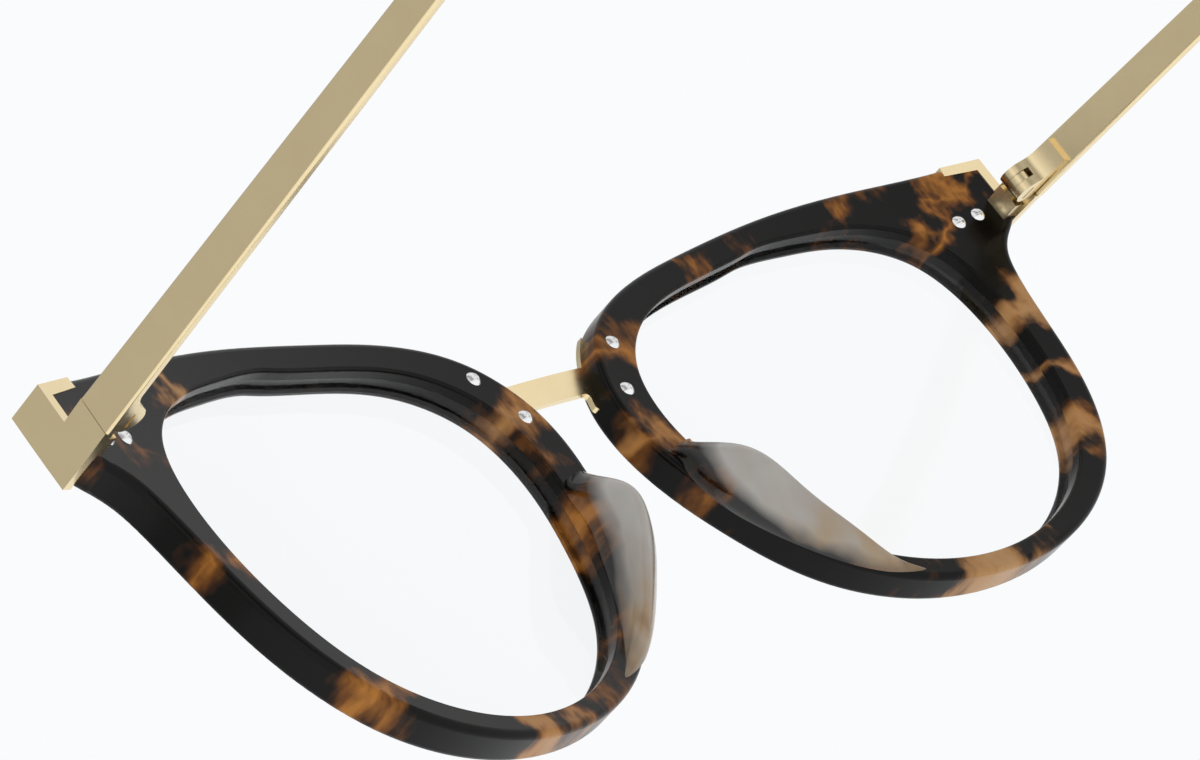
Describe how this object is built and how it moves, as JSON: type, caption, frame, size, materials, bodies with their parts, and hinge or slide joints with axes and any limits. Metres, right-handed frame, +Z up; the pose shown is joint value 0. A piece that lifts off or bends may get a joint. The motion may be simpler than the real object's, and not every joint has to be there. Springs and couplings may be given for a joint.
{
  "type": "spectacles",
  "caption": "Full-rim optical glasses with tortoise acetate rims, a thin metal bridge, angled metal end caps and flat metal temples that fold on barrel hinges.",
  "frame": {"origin": "middle of the bounding box at the level of the rims' lowest point", "axes": "+X to the wearer's left, +Y from the front towards the ears, +Z up"},
  "size_m": [0.1616, 0.1634, 0.0467],
  "materials": {
    "tortoise_acetate": "polished tortoise pattern, near-black with amber and tan patches",
    "clear_lens": "clear, polished",
    "pad_acetate": "polished, translucent",
    "gold_metal": "satin pale gold",
    "silver_screw": "polished"
  },
  "bodies": {
    "front": {"bridge": "gold_metal", "bridge_screw_left_lower": "silver_screw", "bridge_screw_left_upper": "silver_screw", "bridge_screw_right_lower": "silver_screw", "bridge_screw_right_upper": "silver_screw", "end_cap_left": "gold_metal", "end_cap_right": "gold_metal", "end_screw_left_inner": "silver_screw", "end_screw_left_outer": "silver_screw", "end_screw_right_inner": "silver_screw", "end_screw_right_outer": "silver_screw", "front_hinge_left": "gold_metal", "front_hinge_right": "gold_metal", "lens_left": "clear_lens", "lens_right": "clear_lens", "nose_pad_left": "pad_acetate", "nose_pad_right": "pad_acetate", "rim_left": "tortoise_acetate", "rim_right": "tortoise_acetate"},
    "temple_left": {"temple_hinge_left": "gold_metal", "hinge_screw_left": "gold_metal", "temple_bar_left": "gold_metal", "temple_tip_left": "tortoise_acetate"},
    "temple_right": {"temple_hinge_right": "gold_metal", "hinge_screw_right": "gold_metal", "temple_bar_right": "gold_metal", "temple_tip_right": "tortoise_acetate"}
  },
  "joints": [
    {"name": "temple_left_fold", "type": "hinge", "parent": "front", "child": "temple_left", "pos_m": [0.06738, -0.06452, 0.03763], "axis": [0, 0, 1], "range_deg": [0, 95]},
    {"name": "temple_right_fold", "type": "hinge", "parent": "front", "child": "temple_right", "pos_m": [-0.06738, -0.06452, 0.03763], "axis": [0, 0, -1], "range_deg": [0, 85]}
  ]
}
